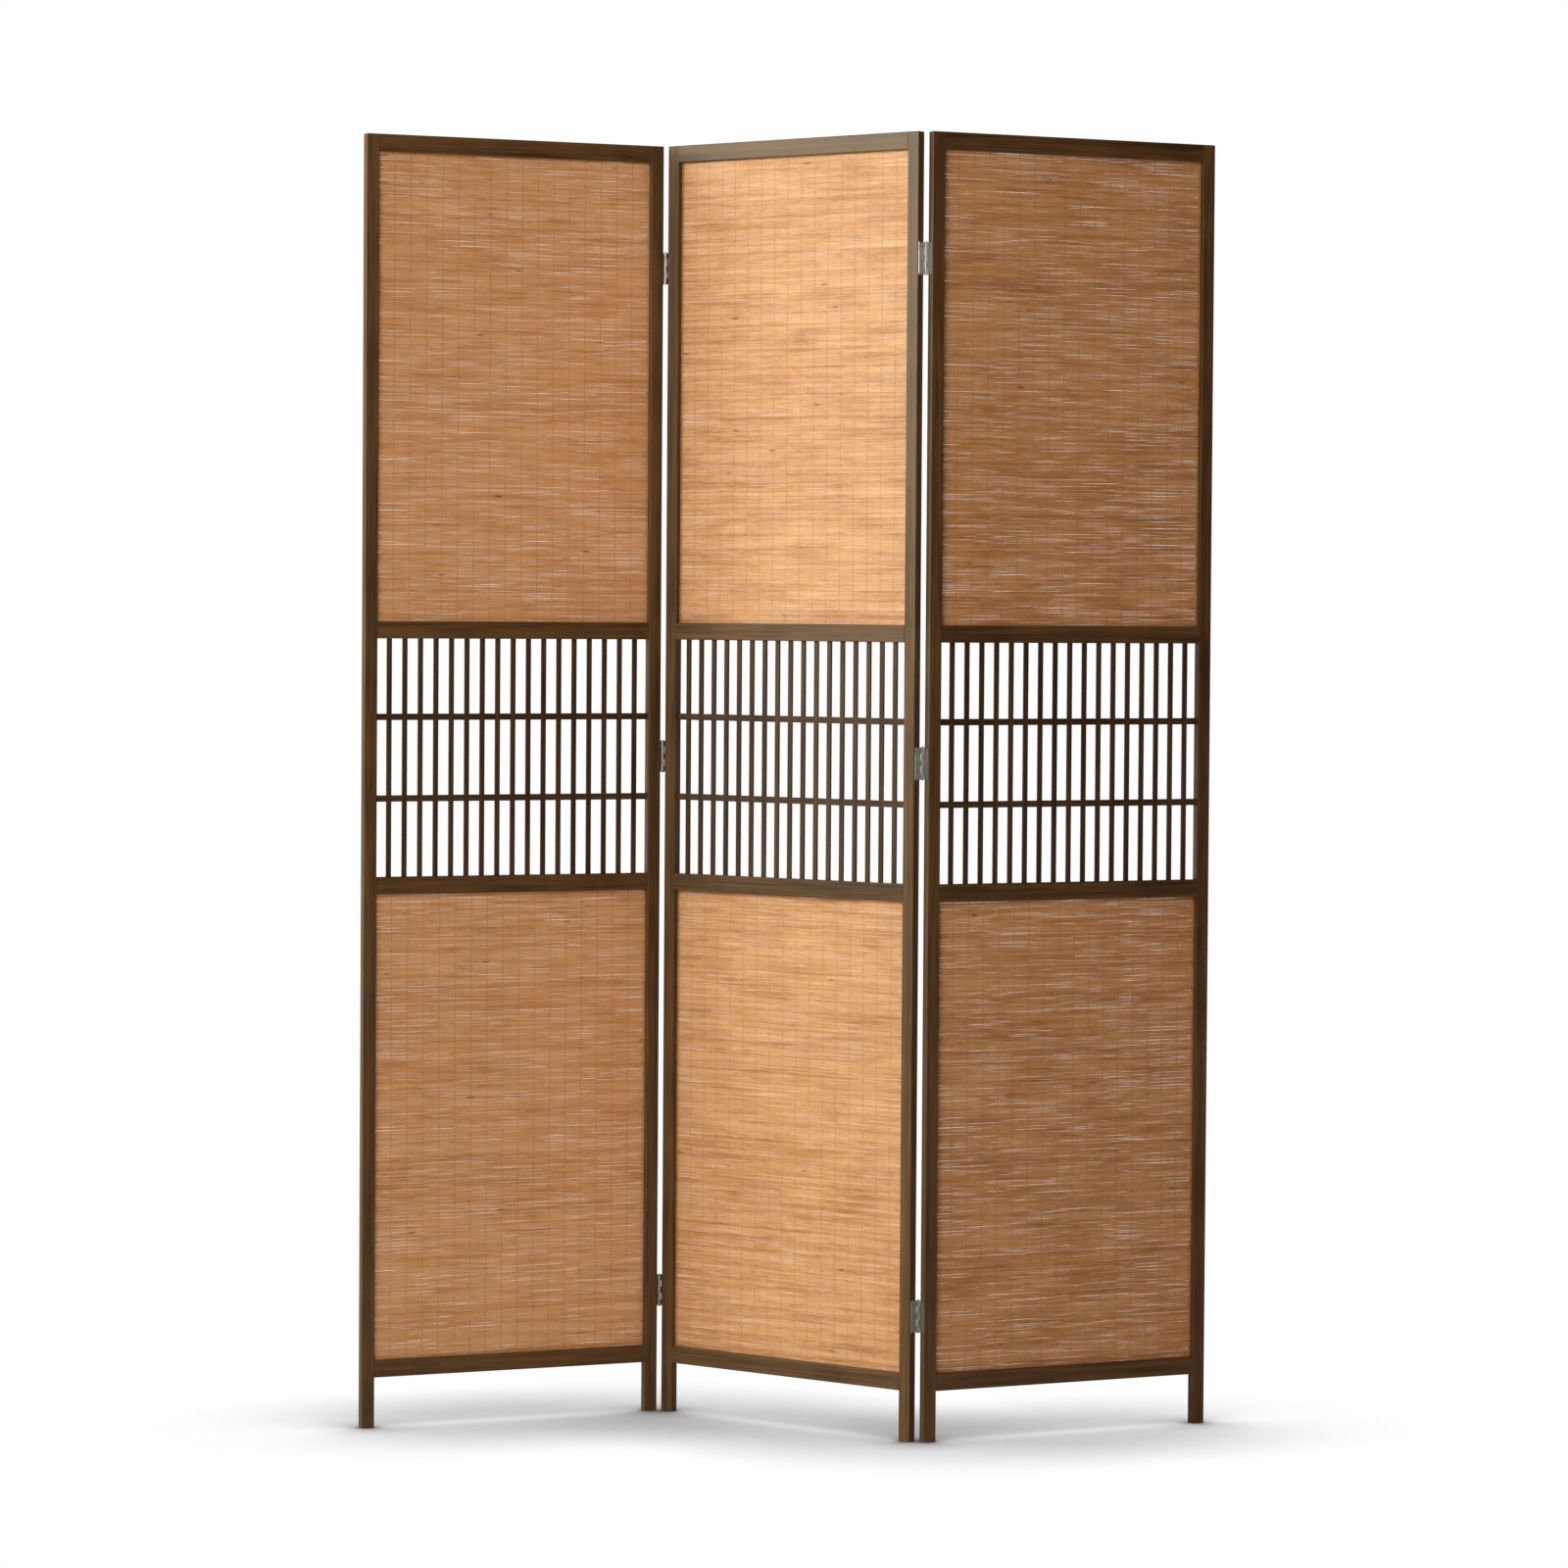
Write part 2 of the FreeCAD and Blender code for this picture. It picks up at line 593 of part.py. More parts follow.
dowel_pattern = draw_dowel()
slat_pattern = draw_slat()
screw_pattern = draw_screw()

for panel_name in PLACES:
    for stile_side in ("left", "right"):
        build_stile(panel_name, stile_side, PIN_SIDES.get((panel_name, stile_side)))
    build_rail(panel_name, "top_rail", groove_below=True, groove_above=False, mortised=None)
    build_rail(panel_name, "upper_mid_rail", groove_below=False, groove_above=True, mortised="underside")
    build_rail(panel_name, "lower_mid_rail", groove_below=True, groove_above=False, mortised="top")
    build_rail(panel_name, "bottom_rail", groove_below=False, groove_above=True, mortised=None)
    build_dowels(panel_name, dowel_pattern)
    build_mat(panel_name, "upper", UPPER_FIELD)
    build_mat(panel_name, "lower", LOWER_FIELD)
    build_bar(panel_name, "upper")
    build_bar(panel_name, "lower")
    build_slats(panel_name, slat_pattern)
build_hinges(screw_pattern)
doc.recompute()

# Check every object, then write one file for each sub-part

for item in doc.Objects:
    if "Invalid" in item.State or "Error" in item.State:
        raise RuntimeError(f"{item.Label} failed: {item.State}")
for node in nodes:
    if node.Shape.isNull() or not node.Shape.isValid():
        raise RuntimeError(f"{node.Label} has no valid shape")

os.makedirs("parts", exist_ok=True)
for node in nodes:
    node.Shape.exportStep(f"parts/{node.Label}.step")
print(f"{len(nodes)} nodes, {sum(len(node.Shape.Solids) for node in nodes)} solids")
for fold_name, axis in AXES.items():
    print(f"{fold_name} fold axis at x {axis.x:.4f}, y {axis.y:.4f}")
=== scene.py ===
# %% [markdown]
# A bamboo folding screen
#
# Three equal wooden frames stand in a zigzag, joined edge to edge by small butt hinges. Each frame holds
# a woven bamboo mat above, an open lattice in the middle and a second mat below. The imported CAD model
# already has each stile, rail, slat, hinge leaf, pin and screw at its real size, so it is loaded first as
# a fixed frame. This lesson gives those members their finishes and weaves the six mats, which the CAD
# model only holds as plain plates.

# %% Load the fixed frame
import json
import math
import random

import bpy
import numpy as np
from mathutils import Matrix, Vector


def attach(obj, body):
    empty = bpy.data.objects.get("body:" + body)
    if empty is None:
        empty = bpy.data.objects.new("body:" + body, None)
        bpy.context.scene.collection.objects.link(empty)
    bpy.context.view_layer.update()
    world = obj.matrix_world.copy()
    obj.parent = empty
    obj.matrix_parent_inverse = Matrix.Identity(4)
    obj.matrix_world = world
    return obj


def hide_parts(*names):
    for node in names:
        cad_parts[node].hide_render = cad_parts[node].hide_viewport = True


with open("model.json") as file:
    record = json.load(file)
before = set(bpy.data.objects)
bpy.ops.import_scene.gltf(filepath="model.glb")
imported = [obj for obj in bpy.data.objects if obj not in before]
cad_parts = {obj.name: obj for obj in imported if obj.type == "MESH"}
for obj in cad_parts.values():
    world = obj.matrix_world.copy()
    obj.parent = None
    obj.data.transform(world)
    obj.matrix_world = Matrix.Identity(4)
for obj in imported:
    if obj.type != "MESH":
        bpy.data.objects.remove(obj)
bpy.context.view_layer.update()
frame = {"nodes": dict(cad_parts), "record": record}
nodes = frame["nodes"]
MM = 0.001

# %% [markdown]
# Sums that become nodes
#
# A procedural material is a tree of nodes, and long trees are hard to read when each link is made by
# hand. Here one small class stands for a number that changes over a surface. Adding, subtracting or
# multiplying such numbers adds a Math node, so a finish can be read as a formula.

# %% A number that changes over a surface
class Value:
    """A number or colour that changes over a surface, and the tree whose nodes make it."""

    def __init__(self, nodes, socket):
        self.nodes = nodes
        self.socket = socket

    def _maths(self, operation, first, second):
        return self.nodes.node("ShaderNodeMath", {"operation": operation}, {0: first, 1: second})

    def __add__(self, other):
        return self._maths("ADD", self, other)

    def __radd__(self, other):
        return self._maths("ADD", other, self)

    def __sub__(self, other):
        return self._maths("SUBTRACT", self, other)

    def __rsub__(self, other):
        return self._maths("SUBTRACT", other, self)

    def __mul__(self, other):
        return self._maths("MULTIPLY", self, other)

    def __rmul__(self, other):
        return self._maths("MULTIPLY", other, self)


print("values can be added, subtracted and multiplied")

# %% [markdown]
# One method for every node
#
# Every other kind of node comes from one method. It takes the node's type, its settings, such as a ramp's
# stops, and then what its sockets hold. A changing value is linked to a socket, and a plain one is set on
# it.

# %% A tree of nodes
class Nodes:
    """A tree of nodes that is filled in by feeding sockets."""

    def __init__(self, tree):
        self.tree = tree

    def feed(self, socket, given):
        """Links a changing value to a socket, or sets a plain one on it."""
        if isinstance(given, Value):
            self.tree.links.new(given.socket, socket)
        else:
            socket.default_value = given

    def node(self, kind, settings=None, sockets=None, output=0):
        """Adds a node of any kind: its settings first, then its sockets. Gives back one of its outputs."""
        made = self.tree.nodes.new(kind)
        for name, setting in (settings or {}).items():
            if name == "stops":
                self.set_stops(made.color_ramp, setting)
            else:
                setattr(made, name, setting)
        for name, given in (sockets or {}).items():
            self.feed(made.inputs[name], given)
        return Value(self, made.outputs[output])

    def set_stops(self, ramp, stops):
        """Gives a colour ramp its stops: pairs of place and linear colour."""
        while len(ramp.elements) < len(stops):
            ramp.elements.new(1.0)
        for element, (place, colour) in zip(ramp.elements, stops):
            element.position = place
            element.color = (*colour, 1.0)

    def ramp(self, factor, stops):
        """A colour picked from the stops by a number from 0 to 1."""
        return self.node("ShaderNodeValToRGB", {"stops": stops}, {"Fac": factor})


print("trees can hold any kind of node")

# %% [markdown]
# One finish
#
# A finish is a material with one Principled shader. Its patterns read Object coordinates, which are
# metres in the frame of the whole screen, because every object sits at the origin. A Mapping node
# stretches them, so that noise gives streaks of a real size. Wear follows edges, which a Bevel node
# finds: the normal that it gives leans away from the face's own only near an edge.

# %% A finish
EDGE_RAYS = 4
FACE_LIKENESS, EDGE_LIKENESS = 0.97, 0.8


class Finish(Nodes):
    """One procedural material: a Principled shader and the nodes that feed it."""

    def __init__(self, name):
        self.material = bpy.data.materials.new(name)
        self.material.use_nodes = True
        super().__init__(self.material.node_tree)
        self.shader = self.tree.nodes["Principled BSDF"]
        self.output = self.tree.nodes["Material Output"]

    def shade(self, **sockets):
        """Feeds the Principled shader. Words in a socket's name are joined by underscores here."""
        for name, given in sockets.items():
            self.feed(self.shader.inputs[name.replace("_", " ")], given)

    def stretched(self, size, turn=0.0, shift=0.0):
        """Object coordinates in steps of the given size in metres, turned about the upright axis."""
        place = self.node("ShaderNodeTexCoord", output="Object")
        return self.node("ShaderNodeMapping", {"vector_type": "TEXTURE"}, {
            "Vector": place, "Location": (shift, shift, shift), "Rotation": (0, 0, turn), "Scale": size})

    def noise(self, streak, turn=0.0, detail=3.0, roughness=0.55, shift=0.0):
        """Cloudy noise in streaks of the given size in metres, turned about the upright axis."""
        return self.node("ShaderNodeTexNoise", None, {
            "Vector": self.stretched(streak, turn, shift),
            "Scale": 1.0, "Detail": detail, "Roughness": roughness})

    def bump(self, height, strength, depth):
        """A normal that follows a height, whose full swing is the given depth in metres."""
        return self.node("ShaderNodeBump", None, {"Height": height, "Strength": strength, "Distance": depth})

    def blend(self, share, first, second):
        """A colour between two others, all of the second where the share is 1."""
        # A Mix node has sockets for each type of data. These are its share and its colours.
        return self.node("ShaderNodeMix", {"data_type": "RGBA"}, {0: share, 6: first, 7: second}, output=2)

    def edge(self, radius):
        """A number that rises from 0 on flat faces to 1 along edges, over the given distance in metres."""
        eased = self.node("ShaderNodeBevel", {"samples": EDGE_RAYS}, {"Radius": radius})
        flat = self.node("ShaderNodeNewGeometry", output="Normal")
        alike = self.node("ShaderNodeVectorMath", {"operation": "DOT_PRODUCT"}, {0: eased, 1: flat},
                          output="Value")
        return self.node("ShaderNodeMapRange", None, {
            "Value": alike, "From Min": FACE_LIKENESS, "From Max": EDGE_LIKENESS})


print("finishes can have noise, bumps and worn edges")

# %% [markdown]
# Which way a panel faces
#
# The panels stand at different angles, and both the weave and the wood grain have to follow them. Each
# plain mat plate of the frame is a thin box, so the longest direction through its corners, seen from
# above, is the way its panel runs. Reading it from the mesh means that nothing has to be typed twice, and
# the looks follow the frame when its sizes change.

# %% Read the mat plates
PANELS = ("left_panel", "middle_panel", "right_panel")
FIELDS = ("upper_mat", "lower_mat")


def plate_of(node):
    """The middle, turn and sizes of a plain mat plate."""
    corners = np.array([vertex.co for vertex in nodes[node].data.vertices])
    middle = (corners.min(axis=0) + corners.max(axis=0)) / 2
    plan = corners[:, :2] - middle[:2]
    along = np.linalg.svd(plan, full_matrices=False)[2][0]
    along = along * np.sign(along[0])
    return {
        "middle": Vector(middle),
        "turn": math.atan2(along[1], along[0]),
        "width": float(np.ptp(plan @ along)),
        "height": float(np.ptp(corners[:, 2])),
    }


plates = {f"{panel}_{field}": plate_of(f"{panel}_{field}") for panel in PANELS for field in FIELDS}
turns = {panel: plates[f"{panel}_upper_mat"]["turn"] for panel in PANELS}
print({panel: round(math.degrees(turn), 2) for panel, turn in turns.items()})

# %% [markdown]
# Stained wood
#
# The frames and lattices are thin softwood strips under a dark brown stain and a satin lacquer. Grain
# shows as fine streaks along each strip, and the stain sits a little unevenly. Noise stretched far along
# the strip and squeezed across it gives such streaks. Uprights carry them along Z, level members along
# their own panel, so each panel has its own level wood. Hands and cloths rub the stain thin along the
# edges. The laths of the lattice are duller, and their tones are painted darker as painted shade.

# %% Stained wood
GRAIN_LENGTH, GRAIN_WIDTH = 0.12, 0.0022
UPRIGHT_GRAIN = (GRAIN_WIDTH, GRAIN_WIDTH, GRAIN_LENGTH)
LEVEL_GRAIN = (GRAIN_LENGTH, GRAIN_WIDTH, GRAIN_WIDTH)
GRAIN_DEPTH = 0.15 * MM
BROAD_GRAIN = 7
STAIN_CLOUD = (0.09, 0.09, 0.09)
STAIN_PLACES = (0.38, 0.48, 0.60)
FRAME_STAIN = ((0.050, 0.022, 0.006), (0.091, 0.045, 0.014), (0.150, 0.079, 0.027))
# Painted shade: the lattice's tones are the frame's made darker, for the shade on the thin laths.
LATTICE_STAIN_AND_SHADE = ((0.032, 0.015, 0.006), (0.058, 0.030, 0.013), (0.095, 0.053, 0.025))
RUBBED_WIDTH = 1.5 * MM
RUBBED_WOOD = (0.21, 0.135, 0.07, 1)
WARM_GLOSS = (1, 0.88, 0.72, 1)
COATS = {
    "frame_wood": {"stain_and_shade": FRAME_STAIN, "gloss": 0.5, "wear": 0.5},
    "lattice_wood": {"stain_and_shade": LATTICE_STAIN_AND_SHADE, "gloss": 0.3, "wear": 0.15},
}


def stained_wood(name, streak, turn, stain_and_shade, gloss, wear):
    """Wood in three tones, darkened as painted shade for the lattice, with grain streaks of the given sizes
    in metres.
    """
    wood = Finish(name)
    fine = wood.noise(streak, turn, detail=4.0)
    broad = wood.noise(tuple(BROAD_GRAIN * size for size in streak), turn, detail=2.0, shift=3.0)
    cloud = wood.noise(STAIN_CLOUD, detail=2.0, shift=8.0)
    tone = 0.5 * fine + 0.3 * broad + 0.2 * cloud
    colour = wood.ramp(tone, list(zip(STAIN_PLACES, stain_and_shade)))
    rubbed = wood.edge(RUBBED_WIDTH) * broad
    wood.shade(
        Base_Color=wood.blend(wear * rubbed, colour, RUBBED_WOOD),
        Roughness=0.38 + 0.16 * fine,
        Specular_IOR_Level=gloss,
        Specular_Tint=WARM_GLOSS,
        Normal=wood.bump(fine, 0.25, GRAIN_DEPTH),
    )
    return wood.material


woods = {}
for slot, coat in COATS.items():
    woods[slot, "upright"] = stained_wood(f"{slot}_upright", UPRIGHT_GRAIN, 0.0, **coat)
    for panel in PANELS:
        woods[slot, panel] = stained_wood(f"{slot}_level_{panel}", LEVEL_GRAIN, turns[panel], **coat)
print("stained wood:", len(woods), "materials")

# %% [markdown]
# Plated steel and dowel wood
#
# Hinges and screws are zinc plated: a grey metal with a faint mottle and scuffs that make it rougher in
# places. The dowels sit inside the joints, where only an exploded view shows them, and are plain beech.

# %% Plated steel and dowel wood
MOTTLE = (0.004, 0.004, 0.004)
SCUFF = (0.0012, 0.0012, 0.006)
SCUFF_DEPTH = 0.05 * MM
HINGE_GREYS = ((0.38, 0.38, 0.36), (0.58, 0.57, 0.54))
SCREW_GREYS = ((0.42, 0.41, 0.38), (0.62, 0.60, 0.56))
FLECK = (0.004, 0.004, 0.0008)
BEECH_TONES = [(0.35, (0.48, 0.32, 0.19)), (0.65, (0.66, 0.48, 0.30))]


def plated_steel(name, dull, bright):
    """Zinc plated steel, mottled between a dull and a bright grey."""
    steel = Finish(name)
    mottle = steel.noise(MOTTLE, detail=4.0)
    scuff = steel.noise(SCUFF, detail=5.0, roughness=0.7, shift=2.0)
    steel.shade(
        Base_Color=steel.ramp(0.6 * mottle + 0.4 * scuff, [(0.35, dull), (0.65, bright)]),
        Metallic=1.0,
        Roughness=0.26 + 0.3 * scuff,
        Normal=steel.bump(scuff, 0.2, SCUFF_DEPTH),
    )
    return steel.material


def beech(name):
    """Pale beech with short dark flecks."""
    wood = Finish(name)
    fleck = wood.noise(FLECK, detail=3.0)
    wood.shade(Base_Color=wood.ramp(fleck, BEECH_TONES), Roughness=0.6 + 0.2 * fleck)
    return wood.material


hinge_steel = plated_steel("hinge_steel", *HINGE_GREYS)
screw_steel = plated_steel("screw_steel", *SCREW_GREYS)
dowel_wood = beech("dowel_wood")
print("metal and dowels: 3 materials")

# %% [markdown]
# Dressing the frame
#
# Each CAD member keeps its shape and gets the finish of its record slot. Rails and lattice bars take the
# level wood of their own panel, and all other wooden members the upright one. The mat plates wait for
# their weave.

# %% Dress the frame
slot_of = {part["node"]: part["material_slot"] for part in frame["record"]["subparts"]}
plain_finishes = {"hinge_steel": hinge_steel, "screw_steel": screw_steel, "dowel_wood": dowel_wood}


def panel_of(node):
    """The panel that a member's name starts with."""
    return "_".join(node.split("_")[:2])


def finish_of(node):
    """The finish of one CAD member."""
    slot = slot_of[node]
    if slot in plain_finishes:
        return plain_finishes[slot]
    return woods[slot, panel_of(node) if node.endswith(("_rail", "_bar")) else "upright"]


def dress(thing, finish):
    """Gives a mesh this finish alone."""
    thing.data.materials.clear()
    thing.data.materials.append(finish)


members = [node for node in nodes if node not in plates]
for node in members:
    dress(nodes[node], finish_of(node))
print("dressed", len(members), "members")

# %% [markdown]
# Working by operator
#
# The mats are modelled with operators, as by hand. An operator acts on all that is selected, and loading
# leaves the CAD members selected, so each helper clears the choice first. A mesh is shifted and not its
# object, because a finished piece sits at the origin with its place in its mesh, as a CAD member does.

# %% Helpers for modelling
def deselect_all():
    """An operator acts on all that is selected, so nothing may be left over."""
    bpy.ops.object.select_all(action="DESELECT")


def use_only(*objects):
    """Selects these objects alone, the first one active."""
    deselect_all()
    for chosen in objects:
        chosen.select_set(True)
    bpy.context.view_layer.objects.active = objects[0]


def add_cube(name, sizes):
    """A box of the given sizes, its scale applied."""
    deselect_all()
    bpy.ops.mesh.primitive_cube_add(size=1)
    box = bpy.context.object
    box.name = name
    box.scale = sizes
    bpy.ops.object.transform_apply(location=True, rotation=True, scale=True)
    return box


def shift_mesh(thing, step):
    """Moves the mesh itself, so that the object stays at the origin."""
    use_only(thing)
    thing.location = step
    bpy.ops.object.transform_apply(location=True, rotation=False, scale=False)


print("selected after loading:", len(bpy.context.selected_objects))

# %% [markdown]
# Four bamboo slivers
#
# A mat is a few hundred slivers of split bamboo laid level, one above the other. Each is a thin strip
# with a flat back and a low crown in front, where the skin of the cane was. It starts as a cube at the
# strip's size. A level cut over its front face gives an edge, which is pulled forward as the crown. Cuts
# across its length, unevenly placed, let it wander later. Four kinds with different cuts are enough to
# hide the repeat, and each has only a few dozen faces because there will be many. The stack of slivers
# leaves a little room at the top and the bottom of its plate.

# %% Model the slivers
MAT_WIDTH = plates["left_panel_upper_mat"]["width"]
MAT_HEIGHT = plates["left_panel_upper_mat"]["height"]
MAT_ROOM = 1.65 * MM
SLIVER_KINDS = 4
SLIVER_STACKS = 72
SLIVER_SPANS = 12
SPAN_WANDER = 0.4
SLIVER_DEPTH = 0.7 * MM
SLIVER_CROWN = 0.25 * MM
SLIVER_SLIT = 0.12 * MM
FRONT_NORMAL = -0.9
SMOOTH_ANGLE = math.radians(50)
sliver_count = SLIVER_KINDS * SLIVER_STACKS
sliver_pitch = (MAT_HEIGHT - 2 * MAT_ROOM) / sliver_count
sliver_width = sliver_pitch - SLIVER_SLIT


def crown_front(strip):
    """Cuts the front face along its middle and pulls the cut forward."""
    bpy.ops.object.mode_set(mode="EDIT")
    bpy.ops.mesh.select_mode(type="FACE")
    bpy.ops.mesh.select_all(action="DESELECT")
    bpy.ops.object.mode_set(mode="OBJECT")
    for face in strip.data.polygons:
        face.select = face.normal.y < FRONT_NORMAL
    bpy.ops.object.mode_set(mode="EDIT")
    bpy.ops.mesh.bisect(plane_co=(0, 0, 0), plane_no=(0, 0, 1))
    bpy.ops.transform.translate(value=(0, -SLIVER_CROWN, 0))
    bpy.ops.object.mode_set(mode="OBJECT")


def cut_across(places):
    """Cuts the active mesh with upright planes at these places along X."""
    bpy.ops.object.mode_set(mode="EDIT")
    for place in places:
        bpy.ops.mesh.select_all(action="SELECT")
        bpy.ops.mesh.bisect(plane_co=(place, 0, 0), plane_no=(1, 0, 0))
    bpy.ops.object.mode_set(mode="OBJECT")


def model_sliver(kind):
    """One sliver at its place in a stack of all kinds."""
    strip = add_cube(f"sliver_{kind}", (MAT_WIDTH, SLIVER_DEPTH, sliver_width))
    crown_front(strip)
    chance = random.Random(kind)
    span = MAT_WIDTH / SLIVER_SPANS
    steps = [step + chance.uniform(-SPAN_WANDER, SPAN_WANDER) for step in range(1, SLIVER_SPANS)]
    cut_across([span * step - MAT_WIDTH / 2 for step in steps])
    bpy.ops.object.shade_smooth_by_angle(angle=SMOOTH_ANGLE)
    shift_mesh(strip, (0, SLIVER_CROWN / 2, sliver_pitch * (kind - (sliver_count - 1) / 2)))
    return strip


slivers = [model_sliver(kind) for kind in range(SLIVER_KINDS)]
sliver_points = len(slivers[0].data.vertices)
print("slivers of", [len(strip.data.polygons) for strip in slivers], "faces,", sliver_count, "to a mat")

# %% [markdown]
# A mat of slivers
#
# The four slivers are joined into a stack, and an Array modifier repeats the stack up the mat. This plain
# mat is the pattern for all six. Copies of it are made uneven further on.

# %% Stack the slivers
def apply_modifier(thing, kind, **settings):
    """Adds a modifier, sets it and applies it."""
    use_only(thing)
    modifier = thing.modifiers.new(kind.lower(), kind)
    for name, setting in settings.items():
        setattr(modifier, name, setting)
    bpy.ops.object.modifier_apply(modifier=modifier.name)


def array(thing, count, step, **settings):
    """Repeats the mesh the given number of times by a constant step."""
    apply_modifier(thing, "ARRAY", count=count, use_relative_offset=False, use_constant_offset=True,
                   constant_offset_displace=step, **settings)


use_only(*slivers)
bpy.ops.object.join()
plain_mat = slivers[0]
plain_mat.name = "plain_mat"
array(plain_mat, SLIVER_STACKS, (0, 0, SLIVER_KINDS * sliver_pitch))
print("plain mat:", len(plain_mat.data.polygons), "faces")

# %% [markdown]
# The binding threads
#
# Upright threads hold the slivers, passing in front of one and behind the next, about 24 mm apart.
# Neighbouring threads take opposite turns. One stitch over two slivers is modelled as a flat ribbon: a
# plane whose upper edge is extruded three times, over to the other side, up along the second sliver and
# back. Arrays repeat it up the mat and across it, and Solidify gives it thickness.

# %% Model the threads
THREAD_PITCH = 24.0 * MM
THREAD_WIDTH = 1.1 * MM
THREAD_DEPTH = 0.25 * MM
THREAD_SLACK = 0.12 * MM
THREAD_REACH = (SLIVER_DEPTH + SLIVER_CROWN) / 2 + THREAD_SLACK
STITCH = 0.6 * sliver_pitch
WELD = 0.05 * MM
IN_FRONT, BEHIND = -1, 1
thread_pairs = math.ceil(int(MAT_WIDTH / THREAD_PITCH) / 2)


def select_edges(thing, wanted):
    """Selects the edges whose two ends are both wanted, and leaves the mesh in object mode."""
    bpy.ops.object.mode_set(mode="EDIT")
    bpy.ops.mesh.select_mode(type="EDGE")
    bpy.ops.mesh.select_all(action="DESELECT")
    bpy.ops.object.mode_set(mode="OBJECT")
    points = [vertex.co for vertex in thing.data.vertices]
    for edge in thing.data.edges:
        edge.select = all(wanted(points[end]) for end in edge.vertices)


def stitched_thread(name, side):
    """One thread the height of a mat, which starts in front of a sliver or behind it."""
    deselect_all()
    bpy.ops.mesh.primitive_plane_add(size=1)
    thread = bpy.context.object
    thread.name = name
    thread.rotation_euler = (math.pi / 2, 0, 0)
    thread.scale = (THREAD_WIDTH, STITCH, 1)
    thread.location = (0, side * THREAD_REACH, 0)
    bpy.ops.object.transform_apply(location=True, rotation=True, scale=True)
    select_edges(thread, lambda point: point.z > 0)
    bpy.ops.object.mode_set(mode="EDIT")
    for step in (
        (0, -2 * side * THREAD_REACH, sliver_pitch - STITCH),
        (0, 0, STITCH),
        (0, 2 * side * THREAD_REACH, sliver_pitch - STITCH),
    ):
        bpy.ops.mesh.extrude_region_move(TRANSFORM_OT_translate={"value": step})
    bpy.ops.object.mode_set(mode="OBJECT")
    array(thread, sliver_count // 2, (0, 0, 2 * sliver_pitch), use_merge_vertices=True, merge_threshold=WELD)
    apply_modifier(thread, "SOLIDIFY", thickness=THREAD_DEPTH, offset=0.0)
    return thread


threads = stitched_thread("plain_threads", IN_FRONT)
second = stitched_thread("second_thread", BEHIND)
shift_mesh(second, (THREAD_PITCH, 0, 0))
use_only(threads, second)
bpy.ops.object.join()
array(threads, thread_pairs, (2 * THREAD_PITCH, 0, 0))
shift_mesh(threads, (-THREAD_PITCH * (2 * thread_pairs - 1) / 2, 0, -sliver_pitch * (sliver_count - 1) / 2))
print("threads:", 2 * thread_pairs, "to a mat,", len(threads.data.polygons), "faces")

# %% [markdown]
# Bamboo and thread finishes
#
# Split bamboo is straw to tan, with fine fibres and short strokes of tone along each sliver, patches
# where the skin was scraped deeper, broad clouds and small dark knots. The tone of the sliver comes from
# its attribute and the rest from noise. The threads are plain cotton cord, dull and a little darker than
# the mat.

# %% Bamboo and thread
FIBRE = (0.03, 0.03, 0.6 * MM)
FIBRE_DEPTH = 0.1 * MM
STROKE = (0.016, 0.016, 2.8 * MM)
PATCH = (0.12, 0.12, 8.0 * MM)
CLOUD = (0.08, 0.08, 0.04)
KNOT_SPACING = (0.13, 0.13, 0.028)
KNOT_CORE, KNOT_RIM = 0.03, 0.06
CANE_TONES = [
    (0.20, (0.26, 0.10, 0.032)),
    (0.38, (0.54, 0.245, 0.085)),
    (0.50, (0.69, 0.355, 0.145)),
    (0.62, (0.79, 0.455, 0.215)),
]
TWIST = (0.6 * MM, 0.6 * MM, 0.25 * MM)
TWIST_DEPTH = 0.1 * MM
COTTON_TONES = [(0.3, (0.44, 0.23, 0.09)), (0.7, (0.60, 0.34, 0.15))]


def bamboo(name):
    """Split bamboo under a thin clear lacquer."""
    cane = Finish(name)
    # The sliver's tone also carries its panel's painted light and shade.
    tone = cane.node("ShaderNodeAttribute", {"attribute_name": "sliver_tone"}, output="Fac")
    fibre = cane.noise(FIBRE, detail=3.0)
    patch = cane.noise(PATCH, detail=4.0, roughness=0.6, shift=5.0)
    stroke = cane.noise(STROKE, detail=2.0, shift=17.0)
    cloud = cane.noise(CLOUD, detail=2.0, shift=11.0)
    spot = cane.node("ShaderNodeTexVoronoi", None, {"Vector": cane.stretched(KNOT_SPACING), "Scale": 1.0})
    knot = cane.node("ShaderNodeMapRange", None, {
        "Value": spot, "From Min": KNOT_CORE, "From Max": KNOT_RIM, "To Min": 1.0, "To Max": 0.0})
    # The last number keeps the mean tone at the middle of the stops.
    mix = 0.12 * tone + 0.42 * patch + 0.18 * fibre + 0.22 * stroke + 0.22 * cloud - 0.07
    cane.shade(
        Base_Color=cane.ramp(mix - 0.3 * knot, CANE_TONES),
        Roughness=0.42 + 0.2 * fibre,
        Specular_IOR_Level=0.5,
        Normal=cane.bump(fibre, 0.3, FIBRE_DEPTH),
    )
    return cane.material


def cotton(name):
    """Twisted cotton cord."""
    cord = Finish(name)
    twist = cord.noise(TWIST, detail=2.0)
    cord.shade(
        Base_Color=cord.ramp(twist, COTTON_TONES),
        Roughness=0.75 + 0.15 * twist,
        Normal=cord.bump(twist, 0.4, TWIST_DEPTH),
    )
    return cord.material


bamboo_finish = bamboo("bamboo_sliver")
cotton_finish = cotton("binding_thread")
print("mat: 2 materials")

